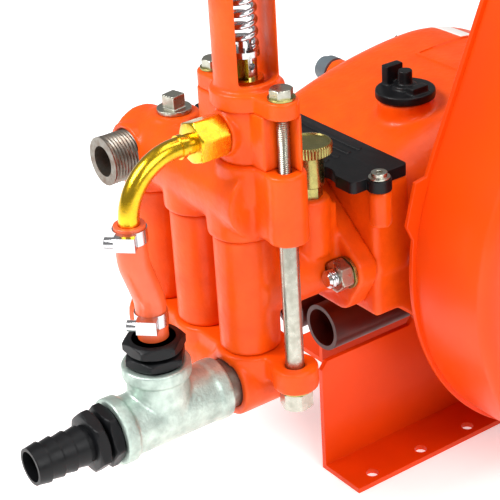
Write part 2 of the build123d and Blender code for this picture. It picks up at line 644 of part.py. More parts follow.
def make_tee():
    """Malleable 1 inch tee with banded ends."""
    length = TEE_Y[1] - TEE_Y[0]
    with BuildPart() as tee:
        rod((INLET_X, TEE_Y[0], INLET_Z), Y, 20, length)
        rod((INLET_X, TEE_Y[0], INLET_Z), Y, 22.25, 9)
        rod((INLET_X, TEE_Y[1], INLET_Z), FRONT, 20.8, 9)
        rod((INLET_X, BRANCH_Y, INLET_Z), Z, 20, BRANCH_TOP - INLET_Z)
        rod((INLET_X, BRANCH_Y, BRANCH_TOP), DOWN, 22.25, 9)
        rod((INLET_X, TEE_Y[0], INLET_Z), Y, 14, length, Mode.SUBTRACT)
        rod((INLET_X, BRANCH_Y, INLET_Z), Z, 14, 50, Mode.SUBTRACT)
        rod((INLET_X, TEE_Y[0], INLET_Z), Y, BSP1_R, 17, Mode.SUBTRACT)
        rod((INLET_X, TEE_Y[1], INLET_Z), FRONT, BSP1_R, 17, Mode.SUBTRACT)
        rod((INLET_X, BRANCH_Y, 127), Z, BSP1_R, 30, Mode.SUBTRACT)
    return tee


def make_tee_nipple():
    """Close nipple between the tee and the suction manifold."""
    with BuildPart() as nipple:
        rod((INLET_X, -190, INLET_Z), Y, BSP1_R - 0.1, 39)
        rod((INLET_X, -190, INLET_Z), Y, 13, 60, Mode.SUBTRACT)
    return nipple


def make_outlet_nipple():
    """Black steel 1 inch nipple of the pressure outlet."""
    with BuildPart() as nipple:
        rod((-PITCH, -186.5, OUTLET_Z), Y, BSP1_R, 16)
        rod((-PITCH, -170.5, OUTLET_Z), Y, BSP1_R - 0.2, 8.6)
        rod((-PITCH, -187, OUTLET_Z), Y, 10.5, 40, Mode.SUBTRACT)
    return nipple


def make_pulley():
    """Two-groove V-belt pulley with a webbed disc and lightening holes."""
    low, high = 120.0, 164.0
    with BuildPart() as pulley:
        with BuildSketch(Plane(origin=(0, CRANK_Y, CRANK_Z), x_dir=X, z_dir=FRONT)) as section:
            with BuildLine():
                Polyline(
                    (low, 116),
                    (low, PULLEY_R),
                    (low + 5, PULLEY_R),
                    (low + 9, PULLEY_R - 15),
                    (low + 14, PULLEY_R - 15),
                    (low + 18, PULLEY_R),
                    (high - 18, PULLEY_R),
                    (high - 14, PULLEY_R - 15),
                    (high - 9, PULLEY_R - 15),
                    (high - 5, PULLEY_R),
                    (high, PULLEY_R),
                    (high, 116),
                    (146, 116),
                    (146, 30),
                    (157, 30),
                    (157, 14),
                    (low, 14),
                    (low, 30),
                    (136, 30),
                    (136, 116),
                    close=True,
                )
            make_face()
        revolve(section.sketch, axis=Axis((0, CRANK_Y, CRANK_Z), X))
        for y, z in bolt_circle(74, 5, 90):
            rod((low, CRANK_Y + y, CRANK_Z + z), X, 24, 60, Mode.SUBTRACT)
    return pulley


def make_pulley_bolt():
    """Bolt and washer on the crankshaft's nose."""
    with BuildPart() as bolt:
        rod((158, CRANK_Y, CRANK_Z), X, 18, 3)
        hexagon((161, CRANK_Y, CRANK_Z), X, M8_FLATS, M8_HEAD)
        rod((142, CRANK_Y, CRANK_Z), X, M8, 18)
    return bolt


def make_guard_back():
    """Back plate of the belt guard, with a lip, an ear and both shaft openings."""
    with BuildPart() as back:
        plate = guard_outline(GUARD_R + LIP, GUARD_END_R + LIP).moved(Location((GUARD_X[0], 0, 0)))
        extrude(plate, amount=3)
        with BuildSketch(Plane(origin=(GUARD_X[0], 0, 0), x_dir=Y, z_dir=X)) as ear:
            with BuildLine():
                Polyline((-44, 238), (-55, 236.5), (-62.5, 208), (-56, 194), (-40, 194), close=True)
            make_face()
        extrude(ear.sketch, amount=3)
        for y, z in bolt_circle(41, 4, 45):
            rod((80, CRANK_Y + y, CRANK_Z + z), X, M8 + CLEAR, 40, Mode.SUBTRACT)
        rod((80, CRANK_Y, CRANK_Z), X, 30, 40, Mode.SUBTRACT)
        rod((80, GUARD_END[0], GUARD_END[1]), X, 30, 40, Mode.SUBTRACT)
    return back


def make_guard_shell():
    """Drum of the belt guard: side wall, rounded edge and vented front."""
    low, high = GUARD_X[0] + 3, GUARD_X[1]
    with BuildPart() as shell:
        outer = guard_outline(GUARD_R, GUARD_END_R).moved(Location((low, 0, 0)))
        extrude(outer, amount=high - low)
        fillet(shell.edges().filter_by(lambda e: abs(e.center().X - high) < 0.01), 9)
        inner = guard_outline(GUARD_R - 2, GUARD_END_R - 2).moved(Location((low, 0, 0)))
        extrude(inner, amount=high - low - 2 - 7, mode=Mode.SUBTRACT)
        core = guard_outline(GUARD_R - 9, GUARD_END_R - 9).moved(Location((low, 0, 0)))
        extrude(core, amount=high - low - 2, mode=Mode.SUBTRACT)
        for index in range(-4, 5):
            centre = (high - 5, CRANK_Y, CRANK_Z + 24 * index)
            with BuildSketch(Plane(origin=centre, x_dir=Y, z_dir=X)) as slot:
                SlotOverall(2 * (120 - 9 * abs(index)), 8)
            extrude(slot.sketch, amount=10, mode=Mode.SUBTRACT)
    return shell


def make_feet():
    """Two bent sheet feet with outward flanges: five holes near, three far."""
    near_low = -FOOT_PITCH * 1.5 - 19.5
    near_high = FOOT_PITCH * 2.5 + 22.5
    far_low, far_high = 0.0, FOOT_PITCH * 2.5 + 31.5
    with BuildPart() as feet:
        with BuildSketch(Plane(origin=(FOOT_FACE - SHEET, 0, 0), x_dir=Y, z_dir=X)) as panel:
            with BuildLine():
                Polyline(
                    (near_low, 0),
                    (near_low, FOOT_TOP - 6),
                    (near_low + 5, FOOT_TOP),
                    (-8, FOOT_TOP),
                    (-4, FOOT_TOP + 4),
                    (-4, SUMP_Z),
                    (70, SUMP_Z),
                    (70, FOOT_TOP),
                    (near_high, FOOT_TOP),
                    (near_high, 0),
                    close=True,
                )
            make_face()
        extrude(panel.sketch, amount=SHEET)
        box((FOOT_FACE - SHEET, 84.2), (near_low, near_high), (0, SHEET))
        box((FAR_FACE, FAR_FACE + SHEET), (far_low, far_high), (0, SUMP_Z))
        box((-109, FAR_FACE + SHEET), (far_low, far_high), (0, SHEET))
        box((FAR_FACE, -40), (far_low, far_high), (SUMP_Z - SHEET, SUMP_Z))
        for index in range(5):
            rod((FOOT_X, FOOT_PITCH * (index - 1.5), -1), Z, 4.5, 10, Mode.SUBTRACT)
        for index in range(3):
            rod((-100, FOOT_PITCH * (index + 0.5), -1), Z, 4.5, 10, Mode.SUBTRACT)
    return feet


def make_frame_tubes():
    """Two open frame tubes under the crankcase."""
    with BuildPart() as tubes:
        for x in RAIL_X:
            rod((x, -70, RAIL_Z), Y, TUBE_OD / 2 - RUN, 370)
            rod((x, -75, RAIL_Z), Y, TUBE_OD / 2 - TUBE_WALL, 400, Mode.SUBTRACT)
    return tubes


def make_tie_bolts():
    """Two long bolts that clamp the manifolds to the block from below."""
    with BuildPart() as bolts:
        for x in ROD_X:
            hexagon((x, ROD_Y, BLOCK_LOW - 19), DOWN, M12_FLATS, 12)
            rod((x, ROD_Y, BLOCK_LOW - 19), Z, M12, 128)
    return bolts


def make_head_nuts():
    """Nuts of the four head studs."""
    with BuildPart() as nuts:
        for x, z in STUDS:
            hexagon((x, FLANGE_Y[0] - 2, z), FRONT, M12_FLATS, M12_NUT)
            rod((x, FLANGE_Y[0], z), FRONT, M12 + RUN, 20, Mode.SUBTRACT)
    return nuts


def make_valve_cartridges():
    """Six seats with their ball cages, under and over each chamber."""
    with BuildPart() as cartridges:
        for x in PLUNGERS:
            for z, lift in ((BLOCK_LOW, SUCTION_LIFT), (BLOCK_TOP, DISCHARGE_LIFT)):
                inside = BALL_RISE + BALL_R + lift + 0.2
                rod((x, HEAD_Y, z - SEAT_H), Z, SEAT_R, SEAT_H)
                rod((x, HEAD_Y, z), Z, CHAMBER_R - 0.1, inside + 3)
                rod((x, HEAD_Y, z), Z, BALL_R + 1.4, inside, Mode.SUBTRACT)
                rod((x, HEAD_Y, z - SEAT_H - 1), Z, SEAT_BORE, SEAT_H + 2, Mode.SUBTRACT)
                window = (z + 3, z + inside - 2)
                box((x - 20, x + 20), (HEAD_Y - 5, HEAD_Y + 5), window, Mode.SUBTRACT)
                box((x - 5, x + 5), (HEAD_Y - 20, HEAD_Y + 20), window, Mode.SUBTRACT)
    return cartridges


def make_ball(x, joint_z):
    """One valve ball resting on its seat."""
    with BuildPart() as ball:
        with BuildSketch(Plane(origin=(x, HEAD_Y, joint_z + BALL_RISE), x_dir=X, z_dir=FRONT)) as half:
            Circle(BALL_R)
            with Locations((-BALL_R, 0)):
                Rectangle(2 * BALL_R, 4 * BALL_R, mode=Mode.SUBTRACT)
        revolve(half.sketch, axis=Axis((x, HEAD_Y, 0), Z))
    return ball


def make_cover_screw():
    """Pan-head screw with its washer in the cover's lug."""
    place = (COVER_SCREW[0], COVER_SCREW[1], NECK_TOP + 8)
    with BuildPart() as screw:
        rod(place, Z, 7, 1.2)
        rod(place, Z, 5.2, 4)
        rod(place, DOWN, 3 - RUN, 22)
        hexagon((place[0], place[1], place[2] + 2), Z, 4, 4, Mode.SUBTRACT)
    return screw


def make_gland():
    """Brass gland round the regulator piston."""
    with BuildPart() as gland:
        rod((REG_X, REG_Y, YOKE_Z - 11), Z, 13.9, 11)
        rod((REG_X, REG_Y, YOKE_Z - 11), Z, GLAND_NECK, 26)
        rod((REG_X, REG_Y, YOKE_Z - 20), Z, STEM_R + 0.1, 60, Mode.SUBTRACT)
    return gland


def make_regulator_piston():
    """Polished relief piston with a cross hole, its collar and a spring pilot."""
    with BuildPart() as piston:
        rod((REG_X, REG_Y, 270), Z, STEM_R, 60)
        rod((REG_X, REG_Y, 330), Z, 9, 4 - GAP)
        rod((REG_X, REG_Y, 333), Z, 4.4, 9)
        rod((REG_X - 20, REG_Y, 324), X, 2.2, 40, Mode.SUBTRACT)
    return piston


def make_regulator_cap():
    """Upper spring seat, which climbs and sinks with the adjusting screw."""
    with BuildPart() as cap:
        rod((REG_X, REG_Y, SPRING_Z[1] + GAP), Z, 12, 6 - GAP)
        rod((REG_X, REG_Y, SPRING_Z[1] - 8), Z, 4.4, 9)
    return cap


def make_adjusting_handle():
    """Cross bar through the top of the adjusting screw."""
    with BuildPart() as bar:
        rod((REG_X - 50, REG_Y, BAR_Z), X, BAR_R, 100)
        for side in (1, -1):
            rod((REG_X + side * 48, REG_Y, BAR_Z), (side, 0, 0), BAR_R + 1.5, 6)
    return bar


def make_bypass_tube():
    """Brass tube that leaves the regulator forward and bends down into the hose."""
    start_y = REG_Y - 14
    bend_y = HOSE_TOP_Y + BEND_R
    drop = BEND_R * math.sqrt(0.5)
    with BuildPart() as tube:
        with BuildLine() as path:
            Line((REG_X, start_y, PORT_Z), (REG_X, bend_y, PORT_Z))
            ThreePointArc(
                (REG_X, bend_y, PORT_Z),
                (REG_X, bend_y - drop, PORT_Z - BEND_R + drop),
                (REG_X, HOSE_TOP_Y, PORT_Z - BEND_R),
            )
            Line((REG_X, HOSE_TOP_Y, PORT_Z - BEND_R), (REG_X, HOSE_TOP_Y, 236))
        with BuildSketch(Plane(origin=(REG_X, start_y, PORT_Z), z_dir=FRONT)) as face:
            Circle(BRASS_R)
            Circle(BRASS_R - 1.5, mode=Mode.SUBTRACT)
        sweep(face.sketch, path=path.wires()[0])
        rod((REG_X, bend_y + 1, PORT_Z), Y, BRASS_R + 1, 3)
        rod((REG_X, bend_y, PORT_Z), Y, BRASS_R - 1.5, 6, Mode.SUBTRACT)
    return tube


def make_inlet_tail():
    """Nylon hose tail of the water inlet: thread, two hexagons and a barbed spigot."""
    with BuildPart() as tail:
        rod((INLET_X, TEE_Y[0] + 16, INLET_Z), FRONT, BSP1_R - 0.1, 16)
        hexagon((INLET_X, TEE_Y[0] - 0.3, INLET_Z), FRONT, 36.4, 8)
        hexagon((INLET_X, -266, INLET_Z), FRONT, 36.4, 8)
        rod((INLET_X, TEE_Y[0], INLET_Z), FRONT, 12.2, TEE_Y[0] + 313)
        for step in range(4):
            y = -313 + 4 + 9 * step
            rod((INLET_X, y, INLET_Z), Y, 13.5, 3)
        rod((INLET_X, TEE_Y[0] + 30, INLET_Z), FRONT, 10, 120, Mode.SUBTRACT)
    return tail


def make_gallery_plug():
    """Square-head plug on the discharge manifold."""
    with BuildPart() as plug:
        rod((PLUG[0], PLUG[1], PLUG_Z - 14), Z, 8.2, 14)
        rod((PLUG[0], PLUG[1], PLUG_Z), Z, 11.7, 3)
        with BuildSketch(Plane(origin=(PLUG[0], PLUG[1], PLUG_Z + 3), x_dir=X, z_dir=Z)) as low:
            Rectangle(11, 11, rotation=12)
        extrude(low.sketch, amount=9)
    return plug


def main():
    """Build every sub-part and write its STEP file."""
    os.makedirs("parts", exist_ok=True)
    makers = {
        "lower_manifold": make_lower_manifold,
        "cylinder_block": make_cylinder_block,
        "upper_manifold": make_upper_manifold,
        "washers": make_washers,
        "head_studs": make_head_studs,
        "crankshaft": make_crankshaft,
        "main_bearings": make_bearings,
        "crankcase": make_crankcase,
        "seals": make_seals,
        "bearing_covers": make_bearing_covers,
        "m8_bolts": make_m8_bolts,
        "inspection_cover": make_inspection_cover,
        "oil_plug": make_oil_plug,
        "oil_cap": make_oil_cap,
        "drain_plug": make_drain_plug,
        "breather": make_breather,
        "grease_cup_base": make_grease_base,
        "grease_cup_cap": make_grease_cap,
        "regulator_body": make_regulator_body,
        "regulator_yoke": make_regulator_yoke,
        "regulator_bolts": make_regulator_bolts,
        "regulator_spring": make_regulator_spring,
        "adjusting_screw": make_adjusting_screw,
        "lock_nut": make_lock_nut,
        "brass_nut": make_brass_nut,
        "bypass_hose": make_hose,
        "hose_clamps": make_hose_clamps,
        "hose_adaptor": make_hose_adaptor,
        "tee": make_tee,
        "tee_nipple": make_tee_nipple,
        "outlet_nipple": make_outlet_nipple,
        "pulley": make_pulley,
        "pulley_bolt": make_pulley_bolt,
        "guard_back": make_guard_back,
        "guard_shell": make_guard_shell,
        "feet": make_feet,
        "frame_tubes": make_frame_tubes,
        "tie_bolts": make_tie_bolts,
        "head_nuts": make_head_nuts,
        "valve_cartridges": make_valve_cartridges,
        "cover_screw": make_cover_screw,
        "regulator_gland": make_gland,
        "regulator_piston": make_regulator_piston,
        "regulator_cap": make_regulator_cap,
        "adjusting_handle": make_adjusting_handle,
        "bypass_tube": make_bypass_tube,
        "inlet_tail": make_inlet_tail,
        "gallery_plug": make_gallery_plug,
    }
    for name, maker in makers.items():
        save(name, maker())
    for index, x in enumerate(PLUNGERS):
        save(f"plunger_{index + 1}", make_plunger(index))
        save(f"con_rod_{index + 1}", make_con_rod(index))
        save(f"suction_ball_{index + 1}", make_ball(x, BLOCK_LOW))
        save(f"discharge_ball_{index + 1}", make_ball(x, BLOCK_TOP))


main()
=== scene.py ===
"""Looks of a belt-driven triplex plunger pump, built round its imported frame."""

import json
import logging
import math
from dataclasses import dataclass
from enum import Enum

import bmesh
import bpy
import numpy as np
from mathutils import Matrix, Vector
from mathutils.bvhtree import BVHTree


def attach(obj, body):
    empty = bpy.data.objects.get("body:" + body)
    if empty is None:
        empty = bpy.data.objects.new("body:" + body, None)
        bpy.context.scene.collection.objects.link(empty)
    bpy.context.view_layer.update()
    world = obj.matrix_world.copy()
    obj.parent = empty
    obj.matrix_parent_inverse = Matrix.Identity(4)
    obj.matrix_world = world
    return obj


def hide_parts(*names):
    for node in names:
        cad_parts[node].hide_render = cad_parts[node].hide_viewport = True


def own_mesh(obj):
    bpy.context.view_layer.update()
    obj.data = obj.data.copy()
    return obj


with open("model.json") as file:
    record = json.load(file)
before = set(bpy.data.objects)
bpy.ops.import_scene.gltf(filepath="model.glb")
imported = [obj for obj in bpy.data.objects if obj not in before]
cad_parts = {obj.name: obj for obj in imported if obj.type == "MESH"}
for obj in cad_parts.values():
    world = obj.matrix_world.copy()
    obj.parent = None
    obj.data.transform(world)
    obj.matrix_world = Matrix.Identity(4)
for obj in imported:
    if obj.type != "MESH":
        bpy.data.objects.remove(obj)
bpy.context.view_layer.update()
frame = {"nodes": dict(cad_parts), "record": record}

LOG = logging.getLogger("pump")
MM = 0.001
OFFSET = np.array([12.5, -67.5, 0.0])  # from the middle cylinder to the foot pattern
NODES = frame["nodes"]
BODY_OF = {
    node: body
    for body, nodes in frame["record"]["behaviour"]["bodies"].items()
    for node in nodes
}
SLOT_OF = {part["node"]: part["material_slot"] for part in frame["record"]["subparts"]}


class Axis(Enum):
    """Directions in which turned pieces are built."""

    UP = (0.0, 0.0, 1.0)
    DOWN = (0.0, 0.0, -1.0)
    FRONT = (0.0, -1.0, 0.0)
    REAR = (0.0, 1.0, 0.0)
    NEAR = (1.0, 0.0, 0.0)


def linear(hex_colour: str) -> tuple[float, float, float, float]:
    """Turn an sRGB hex colour into linear RGBA.

    Args:
        hex_colour: Six hex digits.

    Returns:
        Linear red, green, blue and alpha.
    """
    srgb = [int(hex_colour[i : i + 2], 16) / 255 for i in (0, 2, 4)]
    rgb = [c / 12.92 if c <= 0.04045 else ((c + 0.055) / 1.055) ** 2.4 for c in srgb]
    return (rgb[0], rgb[1], rgb[2], 1.0)


def add_node(tree, kind: str, settings: dict | None = None, links: dict | None = None):
    """Add one shader node.

    Args:
        tree: The node tree it joins.
        kind: Blender's name of the node type.
        settings: Attribute names, or input names after "in:", to values.
        links: Input names to the sockets that feed them.

    Returns:
        The new node.
    """
    node = tree.nodes.new(kind)
    for name, value in (settings or {}).items():
        if name.startswith("in:"):
            node.inputs[name[3:]].default_value = value
        else:
            setattr(node, name, value)
    for name, socket in (links or {}).items():
        tree.links.new(socket, node.inputs[name])
    return node


@dataclass(frozen=True)
class Finish:
    """One real material: two tones in patches, roughness that varies, and a fine relief."""

    name: str
    slot: str
    base: str
    tone: str
    patch_mm: float
    amount: float
    roughness: tuple[float, float]
    metallic: float = 0.0
    relief_mm: float = 0.0
    grain_mm: float = 1.0
    coat: float = 0.0
    coat_roughness: float = 0.08
    contrast: tuple[float, float] = (0.35, 0.7)
    edge_highlight: str = ""
    glow: float = 0.0
    specular: float = 0.5

    def build(self) -> bpy.types.Material:
        """Build the node tree of the finish.

        Returns:
            The material.
        """
        material = bpy.data.materials.new(self.name)
        material.use_nodes = True
        tree = material.node_tree
        tree.nodes.clear()
        place = add_node(tree, "ShaderNodeTexCoord").outputs["Object"]
        patches = add_node(
            tree,
            "ShaderNodeTexNoise",
            {"in:Scale": 1000 / self.patch_mm, "in:Detail": 6.0, "in:Roughness": 0.6},
            {"Vector": place},
        )
        spread = add_node(
            tree,
            "ShaderNodeMapRange",
            {"in:From Min": self.contrast[0], "in:From Max": self.contrast[1], "in:To Max": self.amount},
            {"Value": patches.outputs["Fac"]},
        )
        colour = add_node(tree, "ShaderNodeMix", {"data_type": "RGBA"})
        colour.inputs[6].default_value = linear(self.base)
        colour.inputs[7].default_value = linear(self.tone)
        tree.links.new(spread.outputs["Result"], colour.inputs[0])
        shown = colour.outputs[2]
        # Painted highlight: a lighter colour mixed in on sharp convex edges.
        if self.edge_highlight:
            shown = self._paint_edge_highlight(tree, shown)
        gloss = add_node(
            tree,
            "ShaderNodeMapRange",
            {
                "in:From Min": 0.3,
                "in:From Max": 0.7,
                "in:To Min": self.roughness[0],
                "in:To Max": self.roughness[1],
            },
            {"Value": patches.outputs["Fac"]},
        )
        shader = add_node(
            tree,
            "ShaderNodeBsdfPrincipled",
            {
                "in:Metallic": self.metallic,
                "in:Coat Weight": self.coat,
                "in:Coat Roughness": self.coat_roughness,
                "in:Emission Strength": self.glow,
                "in:Specular IOR Level": self.specular,
            },
            {"Base Color": shown, "Roughness": gloss.outputs["Result"]},
        )
        if self.relief_mm:
            grain = add_node(
                tree,
                "ShaderNodeTexNoise",
                {"in:Scale": 1000 / self.grain_mm, "in:Detail": 3.0},
                {"Vector": place},
            )
            bump = add_node(
                tree,
                "ShaderNodeBump",
                {"in:Strength": 1.0, "in:Distance": self.relief_mm * MM},
                {"Height": grain.outputs["Fac"]},
            )
            tree.links.new(bump.outputs["Normal"], shader.inputs["Normal"])
        add_node(tree, "ShaderNodeOutputMaterial", {}, {"Surface": shader.outputs["BSDF"]})
        return material

    def _paint_edge_highlight(self, tree, under):
        """Paint a highlight of lighter colour on sharp convex edges.

        Args:
            tree: The node tree.
            under: The colour socket below the painted highlight.

        Returns:
            The colour socket with the painted edge highlight.
        """
        geometry = add_node(tree, "ShaderNodeNewGeometry")
        edge = add_node(
            tree,
            "ShaderNodeMapRange",
            {"in:From Min": 0.53, "in:From Max": 0.6, "in:To Max": 0.5},
            {"Value": geometry.outputs["Pointiness"]},
        )
        highlighted = add_node(tree, "ShaderNodeMix", {"data_type": "RGBA"})
        highlighted.inputs[7].default_value = linear(self.edge_highlight)
        tree.links.new(edge.outputs["Result"], highlighted.inputs[0])
        tree.links.new(under, highlighted.inputs[6])
        return highlighted.outputs[2]


# Gloss enamel sprayed on rough castings: highlights wander over the orange peel, and sharp convex edges carry
# a painted highlight of lighter orange.
CAST_ENAMEL = Finish(
    "gloss_enamel_on_casting", "orange_enamel", "F05406", "D84203", 16, 0.6, (0.3, 0.46),
    relief_mm=0.35, grain_mm=4.5, coat=0.06, edge_highlight="F27028", specular=0.22,
)
# The same enamel on sheet steel: flatter, with a fine peel.
SHEET_ENAMEL = Finish(
    "gloss_enamel_on_sheet", "orange_enamel", "EC4804", "DC3C03", 60, 0.5, (0.3, 0.42),
    relief_mm=0.04, grain_mm=2.5, coat=0.06, specular=0.22,
)
# Orange-enamelled frame tubes coloured dark red-brown all over, inside and out: painted shade.
TUBE_PAINTED_SHADE = Finish(
    "frame_tube_painted_shade", "orange_enamel", "4A1208", "360D06", 22, 0.7, (0.3, 0.5), relief_mm=0.05, grain_mm=2,
)
# Clear zinc: cool grey with a faint cloud.
ZINC = Finish(
    "clear_zinc_plate", "zinc_steel", "B9B8AC", "9C9A8C", 5, 0.7, (0.22, 0.4), 1.0, 0.03, 1.2,
)
# Chromated zinc: straw yellow drifting to green.
YELLOW_ZINC = Finish(
    "yellow_chromate_zinc", "zinc_steel", "A89F60", "858250", 6, 0.8, (0.2, 0.36), 1.0, 0.03, 1.2,
)
# Hot-dip galvanised malleable iron: pale, mottled and slightly lumpy.
GALVANISED = Finish(
    "hot_dip_galvanised_iron", "zinc_steel", "C8D8CE", "98A8A0", 11, 0.85, (0.34, 0.55), 0.75, 0.35, 2.2,
)
# Drawn brass, lacquered.
BRASS = Finish(
    "lacquered_brass", "brass", "EABE24", "D2A416", 8, 0.7, (0.16, 0.34), 1.0, 0.05, 1.6, coat=0.3,
)
# Moulded glass-filled nylon: near black with a soft sheen.
NYLON = Finish(
    "moulded_black_nylon", "black_nylon", "0A0B0D", "121316", 9, 0.6, (0.34, 0.5),
    relief_mm=0.04, grain_mm=0.8, specular=0.25,
)
# Black pipe with rust in the bore and thread.
BLACK_PIPE = Finish(
    "threaded_black_pipe", "black_pipe", "86827A", "6A4C38", 5, 0.7, (0.3, 0.5), 0.9, 0.06, 1.0,
)
# Smooth orange hose.
HOSE = Finish(
    "smooth_rubber_hose", "orange_hose", "E8602F", "DB5122", 14, 0.5, (0.3, 0.42),
    relief_mm=0.05, grain_mm=3, coat=0.2,
)
# Ground and chromed steel.
BRIGHT = Finish(
    "ground_bright_steel", "bright_steel", "D2D2D4", "B4B4B8", 4, 0.6, (0.12, 0.26), 1.0, 0.01, 0.8,
)
# Turned and as-cast grey iron.
IRON = Finish("grey_iron", "grey_iron", "5A5A5C", "444446", 9, 0.7, (0.4, 0.6), 0.7, 0.15, 1.6)
# Moulded rubber of the seals: black and dull.
RUBBER = Finish("moulded_rubber", "rubber", "101010", "1C1C1C", 6, 0.5, (0.5, 0.7), relief_mm=0.05)
# Moulded blue-grey plastic of the breather.
GREY_PLASTIC = Finish(
    "moulded_grey_plastic", "grey_plastic", "5E6A70", "4A555B", 9, 0.5, (0.3, 0.45), relief_mm=0.03,
)
# White sticker stock, left blank.
PAPER = Finish("printed_label_blank", "grey_plastic", "F0F0EC", "E4E4E0", 20, 0.4, (0.4, 0.5))
# Matt white floor that shines a little, so it fades into the room.
FLOOR = Finish("pale_floor", "floor", "FAFAF9", "F6F6F5", 400, 0.5, (0.8, 0.9), glow=0.45)

BY_SLOT = {
    "orange_enamel": CAST_ENAMEL,
    "zinc_steel": ZINC,
    "brass": BRASS,
    "black_nylon": NYLON,
    "orange_hose": HOSE,
    "rubber": RUBBER,
    "grey_iron": IRON,
    "black_pipe": BLACK_PIPE,
    "grey_plastic": GREY_PLASTIC,
    "bright_steel": BRIGHT,
}
SPECIAL = {
    "guard_back": SHEET_ENAMEL,
    "guard_shell": SHEET_ENAMEL,
    "feet": SHEET_ENAMEL,
    "frame_tubes": TUBE_PAINTED_SHADE,
    "tee": GALVANISED,
    "washers": YELLOW_ZINC,
    "grease_cup_base": YELLOW_ZINC,
    "hose_clamps": BRIGHT,
}


class Paintbox:
    """Every finish, built once and handed out by name."""

    def __init__(self) -> None:
        """Start with no materials."""
        self._made: dict[str, bpy.types.Material] = {}

    def of(self, finish: Finish) -> bpy.types.Material:
        """The material of a finish.

        Args:
            finish: The finish wanted.

        Returns:
            Its material.
        """
        if finish.name not in self._made:
            self._made[finish.name] = finish.build()
        return self._made[finish.name]

    def for_node(self, node: str) -> Finish:
        """The finish of a CAD node."""
        return SPECIAL.get(node, BY_SLOT[SLOT_OF[node]])


PAINT = Paintbox()


def basis(axis: tuple[float, float, float]) -> tuple[np.ndarray, np.ndarray, np.ndarray]:
    """Two directions across an axis and the axis, right-handed.

    Args:
        axis: Direction of the axis.

    Returns:
        Three unit vectors.
    """
    along = np.array(axis, float)
    along /= np.linalg.norm(along)
    helper = np.array([0.0, 0.0, 1.0]) if abs(along[2]) < 0.9 else np.array([1.0, 0.0, 0.0])
    first = np.cross(helper, along)
    first /= np.linalg.norm(first)
    return first, np.cross(along, first), along


class Surface:
    """Points of one or more closed surfaces on grids, gathered into a mesh."""

    def __init__(self) -> None:
        """Start empty."""
        self._points: list[np.ndarray] = []
        self._faces: list[np.ndarray] = []
        self._count = 0

    def turned(
        self,
        start: tuple[float, float, float],
        axis: Axis,
        along: np.ndarray,
        radius: np.ndarray,
        ring: bool = False,
        columns: int = 96,
    ) -> None:
        """Add a turned piece: point = start + along * axis + radius * (cos t, sin t) across it.

        Args:
            start: Place of the axis' zero, in millimetres from the middle cylinder.
            axis: Direction of the piece.
            along: Distance along the axis of each row, in millimetres.
            radius: Radius of each row, or of each column and row.
            ring: Whether the section is a closed loop, as in a bored piece.
            columns: Number of columns round the axis.
        """
        angle = np.arange(columns) * 2 * np.pi / columns
        across, over, axial = basis(axis.value)
        spread = np.broadcast_to(radius, (columns, len(along)))
        centre = (np.array(start) + OFFSET)[None, None, :]
        turn = np.cos(angle)[:, None, None] * across + np.sin(angle)[:, None, None] * over
        points = centre + along[None, :, None] * axial + spread[:, :, None] * turn
        self._grid(points * MM, ring)

    def _grid(self, points: np.ndarray, ring: bool) -> None:
        """Join a grid that is closed round its columns; its ends meet or are capped by a fan."""
        columns, rows, _ = points.shape
        index = np.arange(columns * rows).reshape(columns, rows) + self._count
        right = np.roll(index, -1, axis=0)
        if ring:
            up, right_up = np.roll(index, -1, axis=1), np.roll(right, -1, axis=1)
            quads = np.stack([index, right, right_up, up], axis=-1).reshape(-1, 4)
            self._faces.append(quads)
            self._points.append(points.reshape(-1, 3))
            self._count += columns * rows
            return
        quads = np.stack([index[:, :-1], right[:, :-1], right[:, 1:], index[:, 1:]], axis=-1)
        self._faces.append(quads.reshape(-1, 4))
        low, high = self._count + columns * rows, self._count + columns * rows + 1
        self._faces.append(np.stack([np.full(columns, low), right[:, 0], index[:, 0]], axis=-1))
        self._faces.append(np.stack([np.full(columns, high), index[:, -1], right[:, -1]], axis=-1))
        ends = np.stack([points[:, 0].mean(0), points[:, -1].mean(0)])
        self._points.append(np.concatenate([points.reshape(-1, 3), ends]))
        self._count += columns * rows + 2

    def mesh(self, name: str) -> bpy.types.Mesh:
        """Make the mesh.

        Args:
            name: Name of the mesh.

        Returns:
            The mesh, smooth up to its sharp edges.
        """
        mesh = bpy.data.meshes.new(name)
        points = np.concatenate(self._points)
        faces = [face.tolist() for block in self._faces for face in block]
        mesh.from_pydata(points.tolist(), [], faces)
        mesh.shade_smooth()
        mesh.set_sharp_from_angle(angle=math.radians(32))
        return mesh


def hexagon_radius(flats: float, columns: int, turn: float = 0.0) -> np.ndarray:
    """Radius of a hexagon at each column: half the flats over the cosine from the flat's middle."""
    angle = np.arange(columns) * 2 * np.pi / columns + turn
    return flats / 2 / np.cos((angle % (np.pi / 3)) - np.pi / 6)


def chamfered_hexagon(
    surface: Surface,
    start: tuple[float, float, float],
    axis: Axis,
    flats: float,
    length: float,
    bore: float = 0.0,
    turn: float = 0.0,
    both: bool = True,
) -> None:
    """Add a hexagon whose corners are cut by a 30 degree cone at its ends.

    Args:
        surface: Where it goes.
        start: Its first face's centre.
        axis: Its direction.
        flats: Width across flats.
        length: Its length.
        bore: Radius of a hole through it, if any.
        turn: How far it is turned.
        both: Whether the first end is chamfered too.
    """
    columns = 96
    corner = hexagon_radius(flats, columns, turn)[:, None]
    steps = np.array([0.0, 0.35, 0.8, 1.3, 1.9])
    along = np.concatenate([steps, [length / 2], length - steps[::-1]])
    end = np.minimum(along, length - along) if both else length - along
    cone = flats / 2 * 0.965 + end * 1.73
    outside = np.minimum(corner, cone[None, :])
    if bore:
        along = np.concatenate([along, [length, 0.0]])
        outside = np.concatenate([outside, np.full((columns, 2), bore)], axis=1)
    surface.turned(start, axis, along, outside, ring=bool(bore), columns=columns)


